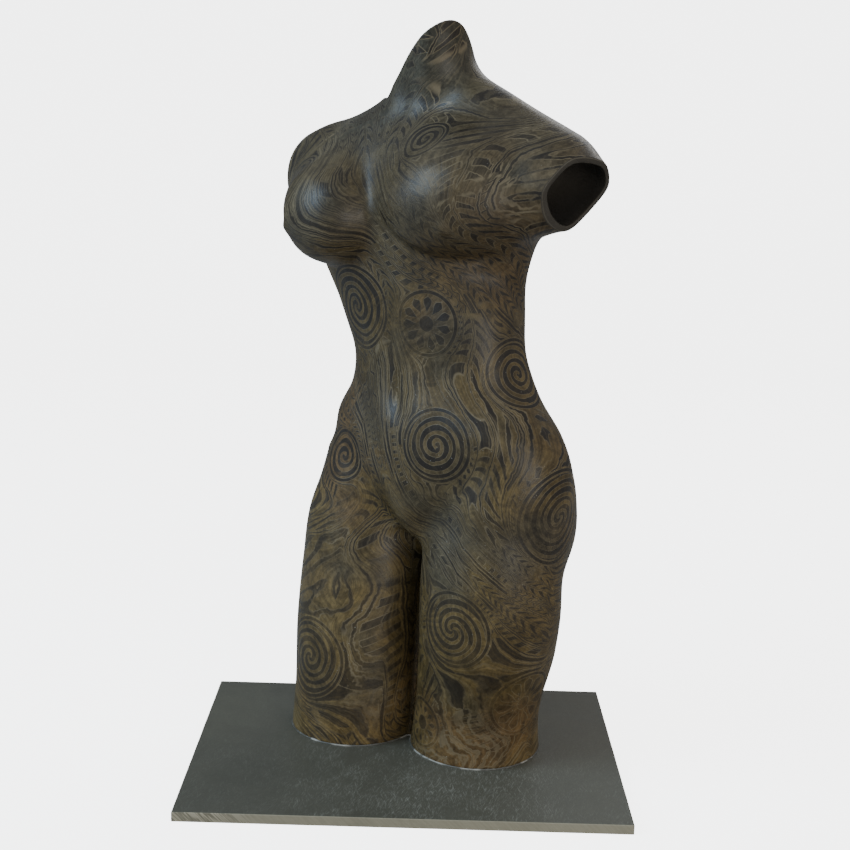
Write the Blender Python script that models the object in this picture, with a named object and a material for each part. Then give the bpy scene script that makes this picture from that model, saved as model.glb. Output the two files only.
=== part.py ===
"""Hollow glazed ceramic torso of a standing woman on a flat slate plate.

The torso is two thirds of life size. It is cut off obliquely at the neck, just
past both shoulders and half way down the thighs, and it is open at those four
places: the neck, the two arm stumps, and the thighs, which stand on the plate.
X runs along the long side of the plate, the front is towards -Y, +Z is up, and
the origin is the middle of the plate's underside.

The figure is described as a field that is negative inside the clay, in life
centimetres measured from the plate's top. The figure's own axes are x to her
left, y to her back and z up.
"""
import math

import bmesh
import bpy
import numpy as np
from mathutils import Matrix

# ---- driving sizes (metres) ----
PLATE_WIDTH = 0.400
PLATE_DEPTH = 0.300
PLATE_THICK = 0.009
LIFE = 0.01 * 2.0 / 3.0
WALL = 0.0062
GLUE_GAP = 0.0003

# ---- sizes of the figure, in life centimetres ----
FEET = (-1.0, 6.1)
TURN = 38.5
TWIST = 5.5
TWIST_FROM, TWIST_TO = 42.0, 76.0

# trunk sections: height, middle x, middle y, half width, front depth, back depth
TRUNK = (
    (33, 5.2, 1.9, 12.8, 5.6, 5.0),
    (37, 5.7, 1.9, 17.6, 8.2, 8.0),
    (42, 6.0, 2.0, 18.9, 9.4, 8.2),
    (47, 5.7, 2.1, 18.0, 9.4, 7.6),
    (52, 5.0, 2.1, 15.0, 9.0, 7.2),
    (57, 4.0, 2.0, 13.7, 8.8, 7.2),
    (63, 1.9, 1.9, 14.7, 9.0, 8.0),
    (69, -1.1, 1.5, 14.8, 9.2, 8.8),
    (75, -2.0, 1.6, 14.8, 9.0, 9.2),
    (80, -1.8, 1.8, 13.9, 8.2, 9.0),
    (84, -1.4, 2.2, 12.1, 7.2, 8.2),
    (88, -0.6, 2.6, 8.6, 5.6, 6.2),
    (92, 0.0, 3.0, 5.2, 3.2, 4.0),
    (97, 0.8, 2.4, 3.2, 2.2, 2.6),
)
# thigh sections: height, middle x, middle y, half width, half depth
THIGH_RIGHT = (
    (-4, -6.9, -1.9, 9.3, 10.2),
    (6, -6.8, -1.3, 9.3, 9.8),
    (16, -7.1, -0.6, 9.6, 9.7),
    (25, -7.0, 0.0, 9.7, 9.0),
    (33, -7.2, 0.3, 8.8, 7.9),
    (41, -7.3, 0.4, 5.5, 4.7),
)
THIGH_LEFT = (
    (-4, 10.9, 3.8, 9.6, 9.7),
    (6, 11.8, 2.9, 8.9, 8.5),
    (16, 13.7, 2.2, 9.6, 9.4),
    (25, 14.5, 1.3, 10.1, 8.9),
    (33, 14.3, 0.8, 8.9, 7.8),
    (41, 13.0, 0.6, 5.0, 4.4),
)
# line down the middle of the body: height, x
MIDDLE = ((28, 5.0), (42, 5.0), (50.5, 3.8), (60, 2.2), (70, 0.6), (80, 0.1), (92, 0.4))
HIP = (6.0, 2.0)
CHEST_X = 0.2
SHOULDER_RIGHT = (-17.2, 0.8, 80.0)
SHOULDER_LEFT = (21.2, 4.2, 81.5)
# outer end of the fold between breast and shoulder: x, y, z, radius
FOLD_RIGHT = (-16.7, -2.0, 80.8, 4.0)
FOLD_LEFT = (19.2, 2.1, 81.0, 4.2)
ARM_RIGHT = (-22.0, 1.4, 81.0)
ARM_LEFT = (28.6, 3.1, 79.5)
BREAST_RIGHT = (-7.8, -7.9, 75.2)
BREAST_LEFT = (10.5, -3.7, 77.6)
BREAST_RIGHT_SIZE = (8.0, 6.3, 6.8)
BREAST_LEFT_SIZE = (8.8, 6.0, 6.6)
NIPPLE_RIGHT = (-11.6, -12.6, 73.6)
NIPPLE_LEFT = (13.6, -8.5, 74.9)
NECK = ((-1.4, 3.2, 86.5), (3.0, 0.6, 103.0))
NECK_RADII = (3.9, 4.8)
# flats along the left arm: towards the back, upwards, how far out
ARM_FLATS = ((0.00, 1.00, 3.1), (0.76, -0.65, 4.0), (-0.77, -0.64, 4.2), (-0.76, 0.65, 3.6), (0.82, 0.57, 5.1))
# where the figure is cut off: a point of the cut, and the way the cut faces
CUT_RIGHT_ARM = ((-18.0, 0.5, 79.0), (-0.95, 0.30, -0.02))
CUT_LEFT_ARM = ((24.7, 0.9, 79.0), (0.91, -0.16, -0.27))
CUT_NECK = ((1.2, 2.4, 94.8), (-0.64, 0.26, 0.72))
NAPE = 91.3


# ---- the field of the figure ----
def soft_min(a, b, k):
    h = np.maximum(k - np.abs(a - b), 0.0) / k
    return np.minimum(a, b) - h * h * h * k / 6.0


def smooth(t):
    t = np.clip(t, 0.0, 1.0)
    return t * t * (3.0 - 2.0 * t)


def curve(z, rows, column):
    """Smooth curve through one column of a table of sections."""
    zs = np.array([r[0] for r in rows], float)
    vs = np.array([r[column] for r in rows], float)
    m = np.gradient(vs, zs)
    z = np.clip(z, zs[0], zs[-1])
    i = np.clip(np.searchsorted(zs, z) - 1, 0, len(zs) - 2)
    h = zs[i + 1] - zs[i]
    t = (z - zs[i]) / h
    t2 = t * t
    t3 = t2 * t
    a = (2 * t3 - 3 * t2 + 1) * vs[i] + (t3 - 2 * t2 + t) * h * m[i]
    return a + (3 * t2 - 2 * t3) * vs[i + 1] + (t3 - t2) * h * m[i + 1]


def limb(p, rows, power):
    """Distance to a column of rounded sections stacked along z."""
    z = p[..., 2]
    back = 5 if len(rows[0]) > 5 else 4
    x = p[..., 0] - curve(z, rows, 1)
    y = p[..., 1] - curve(z, rows, 2)
    a = curve(z, rows, 3)
    front = curve(z, rows, 4)
    b = front + (curve(z, rows, back) - front) / (1.0 + np.exp(-y / 0.8))
    u = np.abs(x) / a
    v = np.abs(y) / b
    r = (u ** power + v ** power + 1e-9) ** (1.0 / power)
    gx = u ** (power - 1) * r ** (1 - power) / a
    gy = v ** (power - 1) * r ** (1 - power) / b
    g = np.sqrt(gx * gx + gy * gy) + 1e-6
    d = (r - 1.0) / np.maximum(g, 0.5 / np.maximum(a, b))
    over = np.maximum(np.maximum(rows[0][0] - z, z - rows[-1][0]), 0.0)
    return np.where(over > 0, np.sqrt(np.maximum(d, 0) ** 2 + over ** 2), d)


def egg(p, centre, radii, yaw=0.0):
    q = p - np.array(centre, float)
    if yaw:
        c, s = math.cos(math.radians(yaw)), math.sin(math.radians(yaw))
        q = q @ np.array([[c, -s, 0], [s, c, 0], [0, 0, 1]])
    r = np.array(radii, float)
    k0 = np.sqrt(((q / r) ** 2).sum(-1))
    k1 = np.sqrt(((q / r ** 2) ** 2).sum(-1)) + 1e-9
    return k0 * (k0 - 1.0) / k1


def taper(p, a, b, ra, rb):
    """Distance to a round bar that tapers from a to b."""
    a = np.array(a, float)
    ab = np.array(b, float) - a
    t = np.clip(((p - a) @ ab) / (ab @ ab), 0, 1)
    q = p - a - t[..., None] * ab
    return np.sqrt((q * q).sum(-1)) - (ra + (rb - ra) * t)


def arm_left(p):
    """Distance to the left arm: a bar with soft flats along it."""
    a = np.array(SHOULDER_LEFT, float)
    along = np.array(ARM_LEFT, float) - a
    along /= np.sqrt((along * along).sum())
    back = np.cross((0.0, 0.0, 1.0), along)
    back /= np.sqrt((back * back).sum())
    up = np.cross(along, back)
    d = taper(p, SHOULDER_LEFT, ARM_LEFT, 5.3, 5.3)
    q = p - a
    for side, rise, reach in ARM_FLATS:
        d = -soft_min(-d, reach - (q @ back) * side - (q @ up) * rise, 1.6)
    return d


def turned(P):
    """Points of the row frame (life cm above the plate) in the figure's own axes."""
    x = P[..., 0] - FEET[0]
    y = P[..., 1] - FEET[1]
    z = P[..., 2]
    t = smooth((z - TWIST_FROM) / (TWIST_TO - TWIST_FROM))
    a = np.radians(TURN + TWIST * t)
    c, s = np.cos(a), np.sin(a)
    return np.stack([c * x - s * y, s * x + c * y, z], -1)


def line(u, z, a, b, width):
    """Soft mark along a line drawn on the front or back view, fading at its ends."""
    ax, az = a
    bx, bz = b[0] - ax, b[1] - az
    t = ((u - ax) * bx + (z - az) * bz) / (bx * bx + bz * bz)
    tc = np.clip(t, 0, 1)
    d2 = (u - ax - tc * bx) ** 2 + (z - az - tc * bz) ** 2
    return np.exp(-0.5 * d2 / width ** 2)


def spot(u, z, centre, radii):
    return np.exp(-0.5 * (((u - centre[0]) / radii[0]) ** 2 + ((z - centre[1]) / radii[1]) ** 2))


def modelling(p):
    """Small modelling of the surface: how far it stands out (+) or goes in (-)."""
    z = p[..., 2]
    u = p[..., 0] - curve(z, MIDDLE, 1)
    w = np.abs(u)
    y = p[..., 1] - curve(z, TRUNK, 2)
    front = smooth(-y / 3.5)
    back = smooth(y / 3.5)
    f = -0.35 * spot(w, z, (0, 88.4), (3.0, 2.8))
    f += 0.20 * line(w, z, (5.0, 87.8), (15.0, 86.0), 1.6)
    f += 0.30 * line(w, z, (2.2, 90.0), (4.6, 98.0), 1.3)
    f -= 0.40 * line(w, z, (0, 84.0), (0, 68.0), 1.9)
    f -= 0.28 * line(w, z, (0, 65.0), (0, 52.5), 1.2)
    f -= 0.30 * line(w, z, (7.0, 64.0), (6.6, 47.0), 1.7)
    f += 0.22 * line(w, z, (2.5, 66.0), (11.5, 58.5), 1.8)
    f -= 0.45 * spot(w, z, (0, 50.5), (1.0, 1.2))
    f -= 0.30 * spot(w, z, (0, 50.5), (2.4, 2.6))
    f += 0.50 * spot(w, z, (13.0, 47.0), (2.4, 2.2))
    f -= 0.48 * line(w, z, (12.0, 43.0), (2.6, 33.5), 1.8)
    b = -0.95 * line(w, z, (0, 86.0), (0, 47.0), 1.7)
    b -= 0.60 * spot(w, z, (4.6, 46.5), (1.3, 1.5))
    b -= 1.70 * line(w, z, (0, 42.0), (0, 28.0), 1.2)
    b -= 0.45 * line(w, z, (5.6, 82.0), (6.2, 72.0), 1.5)
    b -= 0.55 * line(w, z, (4.0, 24.6), (13.0, 26.0), 1.2)
    return f * front + b * back


def figure(P, plain=False):
    """Field of the figure; plain leaves out the small forms, for the hollow inside."""
    p = turned(P)
    d = limb(p, TRUNK, 2.25)
    legs = soft_min(limb(p, THIGH_RIGHT, 2.1), limb(p, THIGH_LEFT, 2.1), 0.6)
    d = soft_min(d, legs, 5.0)
    hx, hy = HIP
    for s in (-1, 1):
        d = soft_min(d, egg(p, (s * 7.8 + hx, hy + 4.5, 33.0), (9.4, 8.2, 9.6)), 5.0)
        d = soft_min(d, egg(p, (s * 11.2 + hx, hy + 0.6, 37.5), (7.4, 8.6, 9.4)), 5.0)
    d = soft_min(d, egg(p, (hx, hy - 4.4, 44.5), (9.0, 5.8, 10.5)), 4.0)
    d = soft_min(d, egg(p, (hx - 0.3, hy - 4.6, 36.5), (5.0, 4.2, 5.0)), 4.0)
    d = soft_min(d, egg(p, (hx - 0.8, hy + 2.4, 34.0), (4.4, 5.0, 6.0)), 3.0)
    d = soft_min(d, egg(p, (CHEST_X + 0.8, -2.6, 77.0), (5.4, 5.8, 8.5)), 5.0)
    sides = ((-1, SHOULDER_RIGHT, FOLD_RIGHT, -0.2, BREAST_RIGHT, BREAST_RIGHT_SIZE, NIPPLE_RIGHT),
             (1, SHOULDER_LEFT, FOLD_LEFT, -1.5, BREAST_LEFT, BREAST_LEFT_SIZE, NIPPLE_LEFT))
    for s, shoulder, fold, reach, breast, size, nipple in sides:
        cx = CHEST_X
        sx, sy, sz = shoulder
        bx, by, bz = breast
        root = (s * 3.7, 3.6, 90.6 + s * 1.8)
        d = soft_min(d, taper(p, root, (sx, sy + 0.4, sz + 1.2), 3.6, 5.0), 6.0)
        armpit = (sx + s * reach, sy - 2.4, sz - 2.8)
        d = soft_min(d, taper(p, (cx + s * 8.0, -2.6, 76.5), armpit, 4.2, 4.0), 5.0)
        side = (cx + s * 10.5, 4.6, 66.0)
        d = soft_min(d, taper(p, side, (cx + s * 16.2, 3.4, 78.0), 3.8, 3.6), 6.0)
        d = soft_min(d, egg(p, (cx + s * 7.8, 6.0, 77.0), (5.6, 3.4, 8.0)), 4.0)
        low = (bx - s * 0.4, by + 1.2, bz + 1.2)
        d = soft_min(d, taper(p, low, (bx - s * 1.2, by + 6.2, bz + 9.5), 5.8, 2.6), 6.0)
        low = (bx + s * 1.4, by + 2.4, bz + 1.8)
        d = soft_min(d, taper(p, low, fold[:3], 5.8, fold[3]), 6.5)
        high = (cx + s * 0.5, -0.4, 82.6)
        d = soft_min(d, taper(p, high, (cx + s * 14.0, -0.6, 82.0), 4.4, 4.2), 6.0)
        d = soft_min(d, egg(p, breast, size, s * 22), 5.0 + s)
        if not plain:
            d = soft_min(d, egg(p, nipple, (0.6, 0.6, 0.6)), 1.7)
    d = soft_min(d, taper(p, SHOULDER_RIGHT, ARM_RIGHT, 4.6, 4.4), 5.0)
    d = soft_min(d, arm_left(p), 5.0)
    d = soft_min(d, taper(p, NECK[0], NECK[1], NECK_RADII[0], NECK_RADII[1]), 6.0)
    if plain:
        return d
    web = taper(p, (2.2, 1.4, -6.0), (4.4, 4.4, 35.0), 2.6, 3.0)
    d = soft_min(d, web, 1.2)
    return d - modelling(p)


def wall_at(p):
    """Thickness of the wall: thinner towards the mouth of the left arm."""
    return WALL / LIFE * (1.0 - 0.45 * smooth((p[..., 0] - 19.0) / 6.0))


def hollow(P):
    """Field of the hollow: it leaves the small forms out and stays clear of the skin."""
    wall = wall_at(turned(P))
    return -soft_min(-figure(P, plain=True) - wall, -figure(P) - 0.6 * wall, 0.9)


# ---- meshing ----
def skin(field, low, high, step, rounds=2):
    """Closed skin of four-sided faces where the field is zero."""
    axes = [np.arange(low[i], high[i] + step * 0.5, step) for i in range(3)]
    n = [len(a) for a in axes]
    value = np.empty(n, np.float32)
    yy, zz = np.meshgrid(axes[1], axes[2], indexing="ij")
    for i in range(n[0]):
        value[i] = field(np.stack([np.full_like(yy, axes[0][i]), yy, zz], -1))
    inside = value < 0
    m = [k - 1 for k in n]
    total = np.zeros(m + [3])
    count = np.zeros(m)
    for axis in range(3):
        others = [a for a in range(3) if a != axis]
        for o1, o2 in ((0, 0), (0, 1), (1, 0), (1, 1)):
            first = [slice(0, k) for k in m]
            first[others[0]] = slice(o1, o1 + m[others[0]])
            first[others[1]] = slice(o2, o2 + m[others[1]])
            second = list(first)
            second[axis] = slice(1, 1 + m[axis])
            v0 = value[tuple(first)]
            v1 = value[tuple(second)]
            cross = (v0 < 0) != (v1 < 0)
            total[..., axis] += np.where(cross, v0 / np.where(cross, v0 - v1, 1), 0)
            total[..., others[0]] += np.where(cross, o1, 0)
            total[..., others[1]] += np.where(cross, o2, 0)
            count += cross
    active = count > 0
    index = -np.ones(m, int)
    index[active] = np.arange(active.sum())
    points = (np.argwhere(active) + total[active] / count[active][:, None]) * step + np.array(low)
    faces = []
    for axis in range(3):
        b, c = (axis + 1) % 3, (axis + 2) % 3
        lo = [slice(None)] * 3
        hi = [slice(None)] * 3
        lo[axis] = slice(0, n[axis] - 1)
        hi[axis] = slice(1, n[axis])
        edge = np.argwhere(inside[tuple(lo)] != inside[tuple(hi)])
        edge = edge[(edge[:, b] > 0) & (edge[:, c] > 0) & (edge[:, b] < m[b]) & (edge[:, c] < m[c])]
        ring = []
        for db, dc in ((1, 1), (0, 1), (0, 0), (1, 0)):
            q = edge.copy()
            q[:, b] -= db
            q[:, c] -= dc
            ring.append(index[q[:, 0], q[:, 1], q[:, 2]])
        quad = np.stack(ring, 1)
        flip = ~inside[tuple(lo)][edge[:, 0], edge[:, 1], edge[:, 2]]
        quad[flip] = quad[flip][:, ::-1]
        faces.append(quad)
    h = 0.05
    for _ in range(rounds):
        d = field(points)
        g = np.stack([field(points + h * e) - field(points - h * e) for e in np.eye(3)], 1) / (2 * h)
        move = d[:, None] * g / np.maximum((g * g).sum(1), 0.05)[:, None]
        size = np.linalg.norm(move, axis=1, keepdims=True)
        points = points - move * np.minimum(1, 0.4 * step / np.maximum(size, 1e-9))
    return points, np.concatenate(faces)


def closed_skin(field, step):
    """The skin on the first grid position that gives one clean closed surface."""
    for shift in (0.0, 0.3, 0.6, 0.15, 0.45, 0.75):
        low = np.array([-34.0, -26.0, -10.0]) + shift * step
        points, faces = skin(field, low, (34, 32, 110), step)
        ends = np.sort(np.concatenate([faces[:, [i, (i + 1) % 4]] for i in range(4)]), axis=1)
        uses = np.unique(ends, axis=0, return_counts=True)[1]
        if (uses == 2).all():
            break
    return points, faces


def mesh_object(name, points, faces):
    mesh = bpy.data.meshes.new(name)
    mesh.from_pydata([tuple(p) for p in points], [], [tuple(int(i) for i in f) for f in faces])
    mesh.update()
    obj = bpy.data.objects.new(name, mesh)
    bpy.context.scene.collection.objects.link(obj)
    return obj


def in_row(points):
    """Life centimetres above the plate, to metres in the row frame."""
    return np.asarray(points) * LIFE + np.array([0.0, 0.0, PLATE_THICK])


def settle(obj, modifier):
    """Replaces the object's mesh by the mesh its modifier makes."""
    graph = bpy.context.evaluated_depsgraph_get()
    mesh = bpy.data.meshes.new_from_object(obj.evaluated_get(graph))
    obj.modifiers.remove(modifier)
    old = obj.data
    obj.data = mesh
    bpy.data.meshes.remove(old)


def thin_out(obj, triangles):
    bm = bmesh.new()
    bm.from_mesh(obj.data)
    bmesh.ops.triangulate(bm, faces=bm.faces)
    total = len(bm.faces)
    bm.to_mesh(obj.data)
    bm.free()
    mod = obj.modifiers.new("thin_out", "DECIMATE")
    mod.ratio = triangles / total
    settle(obj, mod)


def take_away(obj, cutter):
    cutter.hide_render = True
    cutter.display_type = "WIRE"
    mod = obj.modifiers.new("cut", "BOOLEAN")
    mod.operation = "DIFFERENCE"
    mod.solver = "EXACT"
    mod.object = cutter
    settle(obj, mod)
    bpy.data.objects.remove(cutter)


def to_row(q):
    """A point given in the figure's own axes, back in the row frame (life cm)."""
    t = float(smooth((q[2] - TWIST_FROM) / (TWIST_TO - TWIST_FROM)))
    a = math.radians(TURN + TWIST * t)
    x = math.cos(a) * q[0] + math.sin(a) * q[1] + FEET[0]
    y = -math.sin(a) * q[0] + math.cos(a) * q[1] + FEET[1]
    return np.array([x, y, q[2]])


def half_space(name, cut, half, depth, floor=None):
    """A block that starts at a cut and reaches outwards; floor keeps it above a height."""
    at, way = cut
    a = math.radians(TURN + TWIST)
    n = np.array([math.cos(a) * way[0] + math.sin(a) * way[1],
                  -math.sin(a) * way[0] + math.cos(a) * way[1], way[2]])
    n /= np.linalg.norm(n)
    side = np.cross((0, 0, 1.0), n)
    side /= np.linalg.norm(side)
    up = np.cross(n, side)
    base = to_row(at)
    corners = [base + side * half * i + up * half * j + n * depth * k
               for k in (0, 1) for i, j in ((-1, -1), (1, -1), (1, 1), (-1, 1))]
    faces = [(3, 2, 1, 0), (4, 5, 6, 7), (0, 1, 5, 4), (1, 2, 6, 5), (2, 3, 7, 6), (3, 0, 4, 7)]
    obj = mesh_object(name, in_row(corners), faces)
    if floor is not None:
        low = block("floor", (-60, -60, floor - 60), (60, 60, floor))
        take_away(obj, low)
    return obj


def block(name, low, high):
    xs, ys, zs = zip(low, high)
    around = ((xs[0], ys[0]), (xs[1], ys[0]), (xs[1], ys[1]), (xs[0], ys[1]))
    corners = [(x, y, z) for z in zs for x, y in around]
    faces = [(3, 2, 1, 0), (4, 5, 6, 7), (0, 1, 5, 4), (1, 2, 6, 5), (2, 3, 7, 6), (3, 0, 4, 7)]
    return mesh_object(name, in_row(corners), faces)


def finish(name, rgb, rough):
    mat = bpy.data.materials.new(name)
    mat.use_nodes = True
    shader = mat.node_tree.nodes["Principled BSDF"]
    shader.inputs["Base Color"].default_value = (*rgb, 1.0)
    shader.inputs["Roughness"].default_value = rough
    return mat


def make_torso():
    torso = mesh_object("torso", *closed_skin(figure, 1.0))
    torso.data.transform(scale_to_row())
    thin_out(torso, 7900)
    core = mesh_object("core", *closed_skin(hollow, 1.1))
    core.data.transform(scale_to_row())
    thin_out(core, 2600)
    take_away(torso, core)
    take_away(torso, block("below", (-60, -60, -20), (60, 60, GLUE_GAP / LIFE)))
    take_away(torso, half_space("right_arm_cut", CUT_RIGHT_ARM, 9.5, 16))
    take_away(torso, half_space("left_arm_cut", CUT_LEFT_ARM, 9.5, 16))
    take_away(torso, half_space("neck_cut", CUT_NECK, 14, 24, floor=NAPE))
    return torso


def plate_shell():
    """Flat rectangle with its long edges and corners eased by half a millimetre."""
    e = 0.0005
    w, d, t = PLATE_WIDTH / 2, PLATE_DEPTH / 2, PLATE_THICK
    points = []
    for z, inset in ((0.0, e), (e, 0.0), (t - e, 0.0), (t, e)):
        for sx, sy in ((-1, -1), (1, -1), (1, 1), (-1, 1)):
            points.append((sx * (w - inset), sy * (d - inset), z))
    faces = [(3, 2, 1, 0), (12, 13, 14, 15)]
    for k in range(3):
        for i in range(4):
            j = (i + 1) % 4
            faces.append((4 * k + i, 4 * k + j, 4 * k + 4 + j, 4 * k + 4 + i))
    return points, faces


def scale_to_row():
    return Matrix.Translation((0, 0, PLATE_THICK)) @ Matrix.Scale(LIFE, 4)


def main():
    for obj in list(bpy.data.objects):
        bpy.data.objects.remove(obj)
    torso = make_torso()
    plate = mesh_object("plate", *plate_shell())
    torso.data.materials.clear()
    torso.data.materials.append(finish("olive_brown_glaze", (0.105, 0.080, 0.045), 0.38))
    plate.data.materials.append(finish("dark_slate", (0.075, 0.078, 0.076), 0.55))


main()
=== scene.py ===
"""Looks of a hollow glazed ceramic torso standing on a flat slate plate.

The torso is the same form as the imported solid, made finer, with rounded rims at the
neck and the arm stumps and a shallow fold under each breast. Its outside carries a
glaze painted with brush strokes, and its inside and rims are bare clay. Lengths of the
figure are in life centimetres, each two thirds of a real centimetre here, measured from
the top of the plate.
"""
import math

import bmesh
import bpy
import numpy as np
from mathutils import Matrix, Vector


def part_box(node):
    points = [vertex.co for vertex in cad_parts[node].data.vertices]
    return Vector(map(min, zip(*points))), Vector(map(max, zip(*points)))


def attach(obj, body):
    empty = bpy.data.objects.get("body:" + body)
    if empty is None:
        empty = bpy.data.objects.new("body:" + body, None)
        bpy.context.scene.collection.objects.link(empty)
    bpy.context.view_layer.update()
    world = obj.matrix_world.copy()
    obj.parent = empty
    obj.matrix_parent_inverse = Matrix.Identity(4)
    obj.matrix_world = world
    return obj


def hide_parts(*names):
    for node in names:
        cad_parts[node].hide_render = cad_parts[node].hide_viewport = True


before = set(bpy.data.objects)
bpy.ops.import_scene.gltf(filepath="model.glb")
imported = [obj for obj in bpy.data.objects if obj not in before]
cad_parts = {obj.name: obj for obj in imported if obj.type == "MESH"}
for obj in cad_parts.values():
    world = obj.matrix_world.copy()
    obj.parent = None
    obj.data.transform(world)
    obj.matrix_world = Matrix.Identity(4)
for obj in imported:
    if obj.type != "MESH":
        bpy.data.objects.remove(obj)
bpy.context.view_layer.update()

PLATE_LOW, PLATE_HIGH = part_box("plate")
PLATE_TOP = PLATE_HIGH.z
GLUE_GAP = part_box("torso")[0].z - PLATE_TOP
LIFE = 0.01 * 2.0 / 3.0
WALL = 0.0062

# ---- sizes of the figure, in life centimetres ----
FEET = (-1.0, 6.1)
TURN = 38.5
TWIST = 5.5
TWIST_FROM, TWIST_TO = 42.0, 76.0

# trunk sections: height, middle x, middle y, half width, front depth, back depth
TRUNK = (
    (33, 5.2, 1.9, 12.8, 5.6, 5.0),
    (37, 5.7, 1.9, 17.6, 8.2, 8.0),
    (42, 6.0, 2.0, 18.9, 9.4, 8.2),
    (47, 5.7, 2.1, 18.0, 9.4, 7.6),
    (52, 5.0, 2.1, 15.0, 9.0, 7.2),
    (57, 4.0, 2.0, 13.7, 8.8, 7.2),
    (63, 1.9, 1.9, 14.7, 9.0, 8.0),
    (69, -1.1, 1.5, 14.8, 9.2, 8.8),
    (75, -2.0, 1.6, 14.8, 9.0, 9.2),
    (80, -1.8, 1.8, 13.9, 8.2, 9.0),
    (84, -1.4, 2.2, 12.1, 7.2, 8.2),
    (88, -0.6, 2.6, 8.6, 5.6, 6.2),
    (92, 0.0, 3.0, 5.2, 3.2, 4.0),
    (97, 0.8, 2.4, 3.2, 2.2, 2.6),
)
# thigh sections: height, middle x, middle y, half width, half depth
THIGH_RIGHT = (
    (-4, -6.9, -1.9, 9.3, 10.2),
    (6, -6.8, -1.3, 9.3, 9.8),
    (16, -7.1, -0.6, 9.6, 9.7),
    (25, -7.0, 0.0, 9.7, 9.0),
    (33, -7.2, 0.3, 8.8, 7.9),
    (41, -7.3, 0.4, 5.5, 4.7),
)
THIGH_LEFT = (
    (-4, 10.9, 3.8, 9.6, 9.7),
    (6, 11.8, 2.9, 8.9, 8.5),
    (16, 13.7, 2.2, 9.6, 9.4),
    (25, 14.5, 1.3, 10.1, 8.9),
    (33, 14.3, 0.8, 8.9, 7.8),
    (41, 13.0, 0.6, 5.0, 4.4),
)
# line down the middle of the body: height, x
MIDDLE = ((28, 5.0), (42, 5.0), (50.5, 3.8), (60, 2.2), (70, 0.6), (80, 0.1), (92, 0.4))
HIP = (6.0, 2.0)
# rounded masses: place from the middle of the hips, radii, how softly they join
BUTTOCK = ((7.8, 4.5, 33.0), (9.4, 8.2, 9.6), 5.0)
HIP_SIDE = ((11.2, 0.6, 37.5), (7.4, 8.6, 9.4), 5.0)
BELLY = ((0.0, -4.4, 44.5), (9.0, 5.8, 10.5), 4.0)
LOW_BELLY = ((-0.3, -4.6, 36.5), (5.0, 4.2, 5.0), 4.0)
CROTCH = ((-0.8, 2.4, 34.0), (4.4, 5.0, 6.0), 3.0)
CHEST_X = 0.2
SHOULDER_RIGHT, ARM_RIGHT = (-17.2, 0.8, 80.0), (-22.0, 1.4, 81.0)
SHOULDER_LEFT, ARM_LEFT = (21.2, 4.2, 81.5), (28.6, 3.1, 79.5)
# each side: its sign, shoulder, outer end of the fold over the breast and that end's radius,
# reach of the armpit, breast and its radii, nipple
SIDES = (
    (-1, SHOULDER_RIGHT, (-16.7, -2.0, 80.8), 4.0, -0.2,
     (-7.8, -7.9, 75.2), (8.0, 6.3, 6.8), (-11.6, -12.6, 73.6)),
    (1, SHOULDER_LEFT, (19.2, 2.1, 81.0), 4.2, -1.5,
     (10.5, -3.7, 77.6), (8.8, 6.0, 6.6), (13.6, -8.5, 74.9)),
)
NECK = ((-1.4, 3.2, 86.5), (3.0, 0.6, 103.0))
NECK_RADII = (3.9, 4.8)
# the web that joins the thighs: its ends and their radii
WEB = ((2.2, 1.4, -6.0), (4.4, 4.4, 35.0), 2.6, 3.0)
# flats along the left arm: towards the back, upwards, how far out
ARM_FLATS = (
    (0.00, 1.00, 3.1), (0.76, -0.65, 4.0), (-0.77, -0.64, 4.2), (-0.76, 0.65, 3.6), (0.82, 0.57, 5.1),
)
# where the figure is cut off: a point of the cut, and the way the cut faces
CUT_RIGHT_ARM = ((-18.0, 0.5, 79.0), (-0.95, 0.30, -0.02))
CUT_LEFT_ARM = ((24.7, 0.9, 79.0), (0.91, -0.16, -0.27))
CUT_NECK = ((1.2, 2.4, 94.8), (-0.64, 0.26, 0.72))
NAPE = 91.3
CUT_REACH = 12.0
RIM_ROUND = 0.3

# small modelling of the front, mirrored: how far out, from and to (across, height), width
FRONT_LINES = (
    (0.20, (5.0, 87.8), (15.0, 86.0), 1.6),  # collar bone
    (0.30, (2.2, 90.0), (4.6, 98.0), 1.3),  # cord of the neck
    (-0.40, (0, 84.0), (0, 68.0), 1.9),  # breast bone
    (-0.28, (0, 65.0), (0, 52.5), 1.2),  # middle of the belly
    (-0.30, (7.0, 64.0), (6.6, 47.0), 1.7),  # side of the belly muscle
    (0.22, (2.5, 66.0), (11.5, 58.5), 1.8),  # lowest rib
    (-0.48, (12.0, 43.0), (2.6, 33.5), 1.8),  # groin
)
# how far out, centre, radii
FRONT_SPOTS = (
    (-0.35, (0, 88.4), (3.0, 2.8)),  # pit of the neck
    (-0.45, (0, 50.5), (1.0, 1.2)),  # navel
    (-0.30, (0, 50.5), (2.4, 2.6)),  # hollow round the navel
    (0.50, (13.0, 47.0), (2.4, 2.2)),  # hip bone
)
# the folds under the breasts, not mirrored
FOLDS = ((-0.60, (10.6, 77.6), (8.2, 6.9)), (-0.45, (-8.4, 75.2), (7.8, 7.0)))
BACK_LINES = (
    (-0.95, (0, 86.0), (0, 47.0), 1.7),  # spine
    (-1.70, (0, 42.0), (0, 28.0), 1.2),  # cleft
    (-0.45, (5.6, 82.0), (6.2, 72.0), 1.5),  # edge of the shoulder blade
    (-0.55, (4.0, 24.6), (13.0, 26.0), 1.2),  # fold under the buttock
)
BACK_SPOTS = ((-0.60, (4.6, 46.5), (1.3, 1.5)),)  # dimple over the hip

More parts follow.
